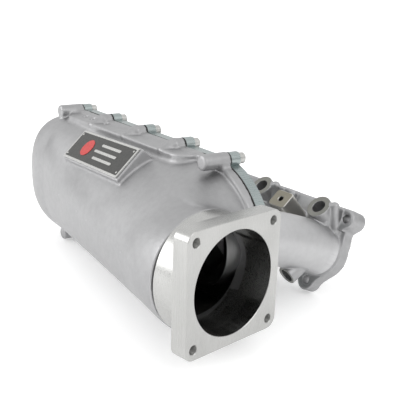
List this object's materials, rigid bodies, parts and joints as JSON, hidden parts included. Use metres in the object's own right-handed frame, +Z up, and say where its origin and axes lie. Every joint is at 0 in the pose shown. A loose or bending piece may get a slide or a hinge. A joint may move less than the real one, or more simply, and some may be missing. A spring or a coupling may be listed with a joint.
{
  "type": "intake manifold",
  "caption": "Cast aluminium intake manifold: a tapered plenum with a square throttle flange, clamped to a plate of curved runners that end in an angled cylinder head flange.",
  "frame": {"origin": "centre of the throttle bore on the throttle flange's front face", "axes": "+X towards the cylinder head, +Y along the plenum away from the throttle, +Z up"},
  "size_m": [0.2715, 0.4264, 0.1641],
  "materials": {
    "cast_aluminium": "fine sand-cast, satin",
    "machined_aluminium": "milled, bright",
    "stack_aluminium": "turned",
    "gasket": "matte",
    "zinc_steel": "zinc plated",
    "nameplate_metal": "bright",
    "nameplate_enamel": "satin enamel",
    "nameplate_emblem": "gloss enamel"
  },
  "bodies": {
    "root": {"plenum_shell": "cast_aluminium", "throttle_flange": "machined_aluminium", "plenum_gasket": "gasket", "runner_plate": "cast_aluminium", "velocity_stack_1": "stack_aluminium", "velocity_stack_2": "stack_aluminium", "velocity_stack_3": "stack_aluminium", "velocity_stack_4": "stack_aluminium", "runner_1": "cast_aluminium", "runner_2": "cast_aluminium", "runner_3": "cast_aluminium", "runner_4": "cast_aluminium", "head_flange": "cast_aluminium", "injector_boss_1": "cast_aluminium", "injector_boss_2": "cast_aluminium", "injector_boss_3": "cast_aluminium", "injector_boss_4": "cast_aluminium", "lower_injector_boss_1": "cast_aluminium", "lower_injector_boss_2": "cast_aluminium", "lower_injector_boss_3": "cast_aluminium", "lower_injector_boss_4": "cast_aluminium", "fuel_rail_post_1": "machined_aluminium", "fuel_rail_post_2": "machined_aluminium", "clamp_screws": "zinc_steel", "clamp_washers": "zinc_steel", "nameplate": "nameplate_metal", "nameplate_field": "nameplate_enamel", "nameplate_emblem": "nameplate_emblem", "nameplate_pins": "nameplate_metal"}
  },
  "joints": []
}
